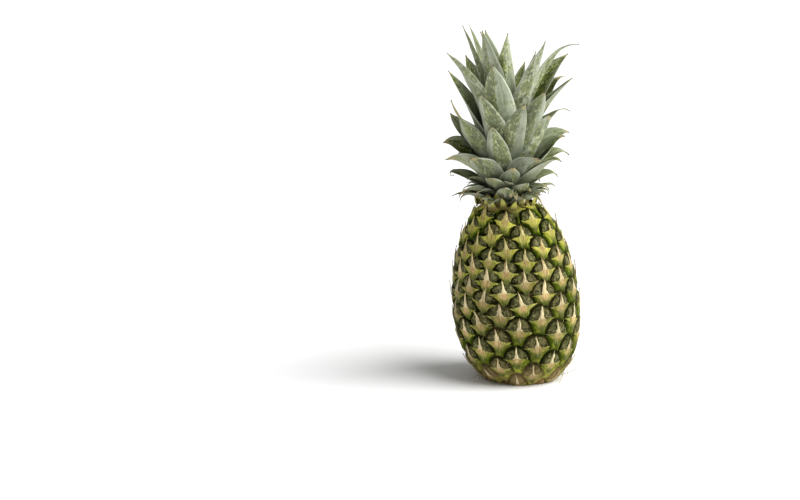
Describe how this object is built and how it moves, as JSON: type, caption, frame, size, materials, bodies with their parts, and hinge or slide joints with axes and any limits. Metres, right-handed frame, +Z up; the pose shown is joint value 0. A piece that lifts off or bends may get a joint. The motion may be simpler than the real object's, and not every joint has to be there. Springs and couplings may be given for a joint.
{
  "type": "pineapple",
  "caption": "Whole fresh pineapple standing on its base, with hexagonal eyes in spirals on the rind and a full crown of stiff channelled leaves on top.",
  "frame": {"origin": "centre of the flat base that the fruit stands on", "axes": "+Z is up, from the base to the crown. -Y is the front, the side seen in the picture, and +X is to that view's right"},
  "size_m": [0.1299, 0.1235, 0.3333],
  "materials": {
    "rind": "rough, matt to slightly waxy",
    "crown_stem": "matt, fibrous",
    "outer_leaf": "satin, partly dry",
    "inner_leaf": "satin under a thin waxy bloom"
  },
  "bodies": {
    "root": {"fruit": "rind", "crown_stem": "crown_stem", "crown_leaf_01": "outer_leaf", "crown_leaf_02": "outer_leaf", "crown_leaf_03": "outer_leaf", "crown_leaf_04": "outer_leaf", "crown_leaf_05": "outer_leaf", "crown_leaf_06": "outer_leaf", "crown_leaf_07": "outer_leaf", "crown_leaf_08": "outer_leaf", "crown_leaf_09": "outer_leaf", "crown_leaf_10": "outer_leaf", "crown_leaf_11": "outer_leaf", "crown_leaf_12": "outer_leaf", "crown_leaf_13": "outer_leaf", "crown_leaf_14": "outer_leaf", "crown_leaf_15": "outer_leaf", "crown_leaf_16": "outer_leaf", "crown_leaf_17": "outer_leaf", "crown_leaf_18": "outer_leaf", "crown_leaf_19": "inner_leaf", "crown_leaf_20": "inner_leaf", "crown_leaf_21": "inner_leaf", "crown_leaf_22": "inner_leaf", "crown_leaf_23": "inner_leaf", "crown_leaf_24": "inner_leaf", "crown_leaf_25": "inner_leaf", "crown_leaf_26": "inner_leaf", "crown_leaf_27": "inner_leaf", "crown_leaf_28": "inner_leaf", "crown_leaf_29": "inner_leaf", "crown_leaf_30": "inner_leaf", "crown_leaf_31": "inner_leaf", "crown_leaf_32": "inner_leaf", "crown_leaf_33": "inner_leaf", "crown_leaf_34": "inner_leaf", "crown_leaf_35": "inner_leaf", "crown_leaf_36": "inner_leaf", "crown_leaf_37": "inner_leaf", "crown_leaf_38": "inner_leaf", "crown_leaf_39": "inner_leaf", "crown_leaf_40": "inner_leaf", "crown_leaf_41": "inner_leaf", "crown_leaf_42": "inner_leaf", "crown_leaf_43": "inner_leaf", "crown_leaf_44": "inner_leaf", "crown_leaf_45": "inner_leaf", "crown_leaf_46": "inner_leaf", "crown_leaf_47": "inner_leaf", "crown_leaf_48": "inner_leaf", "crown_leaf_49": "inner_leaf", "crown_leaf_50": "inner_leaf", "crown_leaf_51": "inner_leaf", "crown_leaf_52": "inner_leaf", "crown_leaf_53": "inner_leaf", "crown_leaf_54": "inner_leaf", "crown_leaf_55": "inner_leaf", "crown_leaf_56": "inner_leaf", "crown_leaf_57": "inner_leaf", "crown_leaf_58": "inner_leaf"}
  },
  "joints": []
}
